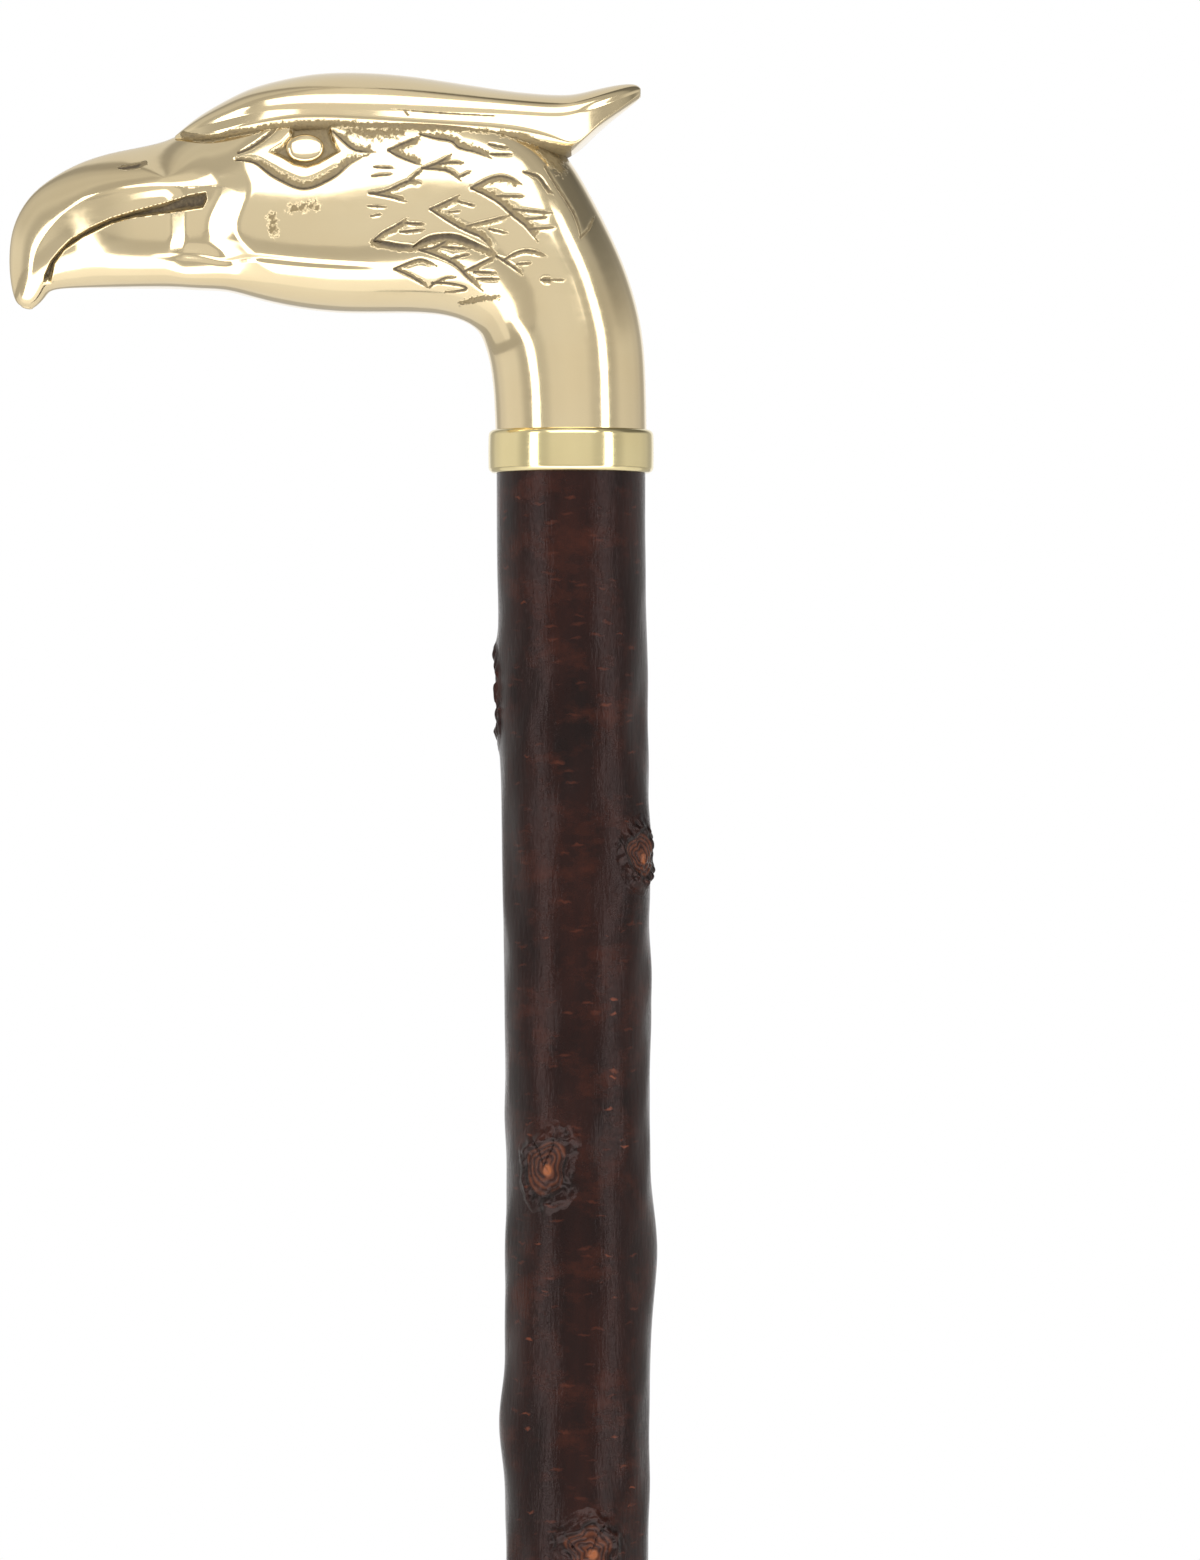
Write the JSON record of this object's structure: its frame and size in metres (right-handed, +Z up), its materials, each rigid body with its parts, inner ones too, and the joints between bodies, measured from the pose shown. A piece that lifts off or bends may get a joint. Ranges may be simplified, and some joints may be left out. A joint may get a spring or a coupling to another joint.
{
  "type": "walking stick",
  "caption": "Bark-on blackthorn walking stick with a hollow cast brass bird's-head handle, brass collar, screwed stud joint, brass tip band and push-on rubber ferrule.",
  "frame": {"origin": "centre of the rubber ferrule's sole, where the stick meets the ground", "axes": "+Z up the shaft to the handle, -X the way the beak points, +Y out of the bird's right cheek"},
  "size_m": [0.1106, 0.034, 0.9152],
  "materials": {
    "cast_brass": "polished sand casting with dark patina in the cuts",
    "turned_brass": "turned and polished",
    "steel": "plain zinc-plated",
    "bark": "smooth dark bark under gloss varnish",
    "rubber": "moulded matt rubber"
  },
  "bodies": {
    "stick": {"head_casting": "cast_brass", "neck_bush": "turned_brass", "stud": "steel", "collar_ring": "turned_brass", "shaft_insert": "turned_brass", "shaft": "bark", "tip_band": "turned_brass"},
    "ferrule": {"rubber_ferrule": "rubber", "ferrule_washer": "steel"}
  },
  "joints": [
    {"name": "ferrule_pull", "type": "slide", "parent": "stick", "child": "ferrule", "axis": [0, 0, -1], "range_m": [0, 0.05]}
  ]
}
